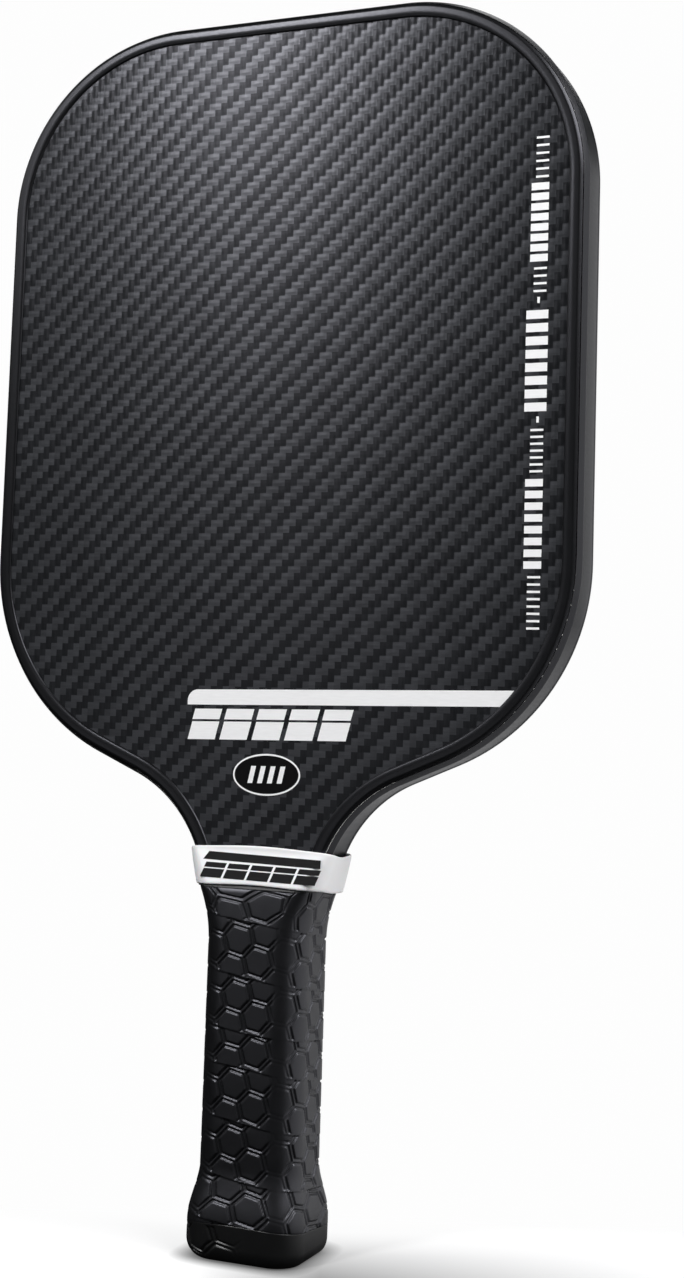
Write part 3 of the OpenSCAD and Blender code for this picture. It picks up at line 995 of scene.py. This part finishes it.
def collar_band():
    """The stretched collar, with bowed edges that fall towards the rear."""
    table = handle_table(0.6)
    half = collar_half((NECK_Z + COLLAR_FOOT) / 2)
    middle = section_points(table, *half, 4.0)
    across, out = ((middle / half) ** 2).T
    bow = out / (across + out)      # 1 in the middle of a face, 0 on a side
    back = middle[:, 1] + half[1]
    low, high = (edge + rise * bow - slope * back
                 for edge, rise, slope in zip(COLLAR_EDGES, COLLAR_BOW, COLLAR_SLOPE))
    rings = []
    for offset, share in collar_profile():
        z = low + (high - low) * share
        flat = section_points(table, *collar_half(z), collar_corner(z), offset)
        rings.append(np.column_stack((flat[:, 0] + COLLAR_SHIFT, flat[:, 1], z)))
    faces = tube_faces(len(rings), len(bow))
    return make_piece("collar_band", np.vstack(rings), faces, RUBBER,
                      sharp_deg=60.0, node="collar")


def collar_prints():
    """A long bar and a row of blocks, as on the face."""
    left = -18.0
    long_bar = [(-18.05, 121.5), (22.5, 120.65), (22.2, 123.2), (-16.4, 123.95)]
    rows = slanted_blocks(left, 22.9, 116.1, 120.7, count=5, gap=0.85, slit=0.35, slant=1.3)
    blocks = [[(x, z - COLLAR_PRINT_FALL * (x - left)) for x, z in block] for block in rows]
    print_layer("collar_print", [long_bar] + blocks, place_on_collar, BLACK_INK, root=0.2)


# ---- Pieces that the CAD draws well enough ----


def dress_cad_nodes():
    """Gives each carried-over CAD node its own material."""
    foam = moulded("pallet_foam", (0.62, 0.5, 0.34, 1.0), 0.75, 500.0, 0.15, 0.2)
    film = moulded("bond_film", (0.72, 0.66, 0.42, 1.0), 0.35, 300.0, 0.05)
    looks = {
        "honeycomb_core": moulded("core_plastic", (0.7, 0.72, 0.74, 1.0), 0.4, 250.0, 0.05),
        "front_bond_film": film,
        "rear_bond_film": film,
        "edge_guard_tape": moulded("guard_tape", (0.75, 0.75, 0.72, 1.0), 0.5, 700.0, 0.03),
        "front_handle_pallet": foam,
        "rear_handle_pallet": foam,
        "butt_cap_staples": brushed_steel(),
        "butt_medallion": moulded("medallion_plastic", grey(0.035), 0.3, 1200.0, 0.015),
        "grip_finishing_tape": moulded("finishing_tape", grey(0.02), 0.5, 1600.0, 0.02),
    }
    for name, material in looks.items():
        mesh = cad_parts[name].data
        if not mesh.materials:
            mesh.materials.append(material)
        for k in range(len(mesh.materials)):
            mesh.materials[k] = material


# ---- Stage, light and camera, in metres ----

BACKDROP = (0.985, 0.985, 0.985, 1.0)
ROOM_COLOUR = (0.9, 0.95, 1.0, 1.0)
ROOM_LIGHT = 0.04
LAMP_COLOUR = (0.99, 0.99, 1.0)

BEHIND = (-0.385, 0.923, 0.0)   # away from the camera
BESIDE = (0.923, 0.385, 0.0)    # to the right in the picture
FLOOR_RADIUS = 4.0
FLOOR_WHITE = 0.35
FLOOR_GLOW = 0.65
FADE_OUT = (0.12, 0.25)         # the floor turns into backdrop between these distances
FADE_BEHIND = (0.0, 0.04)       # and, behind the paddle, between these
SHADE = 0.68                    # strength of the painted shade beside the butt
SHADE_START = (-0.02, 0.02)     # where it sets in, from left to right
SHADE_END = (0.02, 0.15)        # where it runs out to the right
SHADE_DEPTH = (-0.028, 0.025)   # where it runs out away from the camera
CONTACT = (0.0175, 0.0165)      # half sizes of the patch that the butt stands on
CONTACT_REACH = 1.4             # its shade ends at this many times its size
CONTACT_LIGHT = 0.25            # light that is left where the butt stands

POOL_AT = (-0.36, -0.8, 0.0)    # the grip's front mirrors the floor here
POOL_RADIUS = 0.48
POOL_LIGHT = (1.6, 0.02)        # brightness of the floor there, and outside it
TO_RIGHT = (0.64, 0.77, 0.0)    # the grip's right side mirrors the floor on this side
RIGHT_START = (0.01, 0.08)
RIGHT_LIGHT = 0.6


def contact_shade(n):
    """Dark right under the butt's rounded edge, where hardly any light gets in."""
    across = n.maths("ABSOLUTE", n.maths("DIVIDE", n.component("X"), CONTACT[0]))
    out = n.maths("ABSOLUTE", n.maths("DIVIDE", n.component("Y"), CONTACT[1]))
    powers = n.maths("ADD", n.maths("POWER", across, 4.0), n.maths("POWER", out, 4.0))
    reach = n.maths("POWER", powers, 0.25)
    return n.span(reach, CONTACT_LIGHT, 1.0, start=1.0, end=CONTACT_REACH)


def floor_shade(n):
    """A soft shade beside the butt, on the side that is away from the key light."""
    beside = n.distance_along(BESIDE)
    starts = n.span(beside, 0.0, 1.0, *SHADE_START)
    ends = n.span(beside, SHADE, 0.0, *SHADE_END)
    depth = n.span(n.distance_along(BEHIND), 1.0, 0.0, *SHADE_DEPTH)
    dark = n.maths("MULTIPLY", n.maths("MULTIPLY", starts, ends), depth)
    return n.maths("MULTIPLY", n.maths("SUBTRACT", 1.0, dark), contact_shade(n))


def floor_seen(n):
    """The floor for the camera: pale, and fading into the backdrop with distance."""
    away = n.vector("LENGTH")
    fade_out = n.span(away, 0.0, 1.0, *FADE_OUT)
    fade_behind = n.span(n.distance_along(BEHIND), 0.0, 1.0, *FADE_BEHIND)
    shade = floor_shade(n)
    white = n.even_grey(n.maths("MULTIPLY", shade, FLOOR_WHITE))
    paper = n.add("BsdfDiffuse", {"Color": white}).outputs[0]
    glow_level = n.maths("MULTIPLY", shade, FLOOR_GLOW)
    glow = n.add("Emission", {"Color": (1.0, 1.0, 1.0, 1.0), "Strength": glow_level}).outputs[0]
    near = n.add("AddShader", {0: paper, 1: glow}).outputs[0]
    far = n.add("Emission", {"Color": BACKDROP, "Strength": 1.0}).outputs[0]
    share = n.maths("MAXIMUM", fade_out, fade_behind)
    return n.add("MixShader", {0: share, 1: near, 2: far}).outputs[0]


def floor_mirrored(n):
    """The floor for reflections: dim, with a bright pool at the front left and one at the right."""
    from_pool = n.vector("DISTANCE", POOL_AT)
    front_pool = n.span(from_pool, *POOL_LIGHT, start=0.0, end=POOL_RADIUS)
    right_pool = n.span(n.distance_along(TO_RIGHT), 0.0, RIGHT_LIGHT, *RIGHT_START)
    level = n.maths("MAXIMUM", front_pool, right_pool)
    return n.add("BsdfDiffuse", {"Color": n.even_grey(level)}).outputs[0]


def floor():
    """A round floor that the camera sees pale and the paddle mirrors dim."""
    n = Nodes("stage_floor")
    n.add("OutputMaterial", {"Surface": n.for_camera(floor_seen(n), floor_mirrored(n))})
    rim = arc((0.0, 0.0), FLOOR_RADIUS, 0, 360, steps=96)[:-1]
    mesh = bpy.data.meshes.new("stage_floor")
    mesh.from_pydata([(x, y, 0.0) for x, y in rim], [], [list(range(len(rim)))])
    mesh.materials.append(n.owner)
    new_object("stage_floor", mesh)


def backdrop():
    """White to the camera, dim to everything else, so that black surfaces stay black."""
    n = Nodes("studio", bpy.data.worlds)
    seen = n.add("Background", {"Color": BACKDROP}).outputs[0]
    room = n.add("Background", {"Color": ROOM_COLOUR, "Strength": ROOM_LIGHT}).outputs[0]
    n.add("OutputWorld", {"Surface": n.for_camera(seen, room)})
    bpy.context.scene.world = n.owner


def soft_light(name, left_deg, rise_deg, distance, size, power):
    """A softbox aimed at the paddle's middle, left_deg to the left of the front and rise_deg up."""
    aim = (CAD_LO + CAD_HI) / 2
    left, rise = math.radians(left_deg), math.radians(rise_deg)
    toward = Vector((-math.sin(left) * math.cos(rise), -math.cos(left) * math.cos(rise), math.sin(rise)))
    lamp = bpy.data.lights.new(name, "AREA")
    lamp.shape = "RECTANGLE"
    lamp.size, lamp.size_y = size
    lamp.energy = power
    lamp.color = LAMP_COLOUR
    made = new_object(name, lamp)
    made.location = aim + toward * distance
    made.rotation_euler = (-toward).to_track_quat("-Z", "Y").to_euler()


def studio_lights():
    """A narrow key, a wide softbox low on the right for the side walls, and three soft fills."""
    soft_light("key", left_deg=28.5, rise_deg=38.0, distance=1.5, size=(0.17, 0.55), power=16.8)
    soft_light("left", left_deg=67.0, rise_deg=30.0, distance=1.2, size=(1.2, 0.6), power=2.2)
    soft_light("top", left_deg=-75.0, rise_deg=42.0, distance=1.3, size=(0.8, 0.7), power=19.0)
    soft_light("side", left_deg=-120.0, rise_deg=7.0, distance=1.4, size=(2.2, 1.1), power=9.0)
    soft_light("rear", left_deg=-172.0, rise_deg=50.0, distance=1.5, size=(0.6, 0.6), power=3.5)


CAMERA_AT = (0.2506, -0.5520, 0.1699)
CAMERA_YAW = 22.638             # degrees
CAMERA_RISE = 5.412
CAMERA_ROLL = 1.817
CAMERA_LENS = 52.70             # millimetres, for a picture 36 mm long
CAMERA_SHIFT = (0.0019, -0.0833)


def camera():
    """Stands in front to the right at the head's foot and looks a little up at the paddle."""
    lens = bpy.data.cameras.new("camera")
    lens.lens = CAMERA_LENS
    lens.shift_x, lens.shift_y = CAMERA_SHIFT
    lens.clip_start = 0.01
    made = new_object("camera", lens)
    turn = (Matrix.Rotation(math.radians(CAMERA_YAW), 4, "Z")
            @ Matrix.Rotation(math.radians(90 + CAMERA_RISE), 4, "X")
            @ Matrix.Rotation(math.radians(CAMERA_ROLL), 4, "Z"))
    made.matrix_world = Matrix.Translation(CAMERA_AT) @ turn
    bpy.context.scene.camera = made


face_sheet("carbon_front_face", -1, "front_face_sheet")
face_sheet("carbon_rear_face", 1, "rear_face_sheet")
face_prints()
edge_guard()
cushion_grip()
butt_cap()
collar_band()
collar_prints()
dress_cad_nodes()
floor()
backdrop()
studio_lights()
camera()
bpy.context.scene.view_settings.view_transform = "Standard"
bpy.context.scene.view_settings.look = "None"
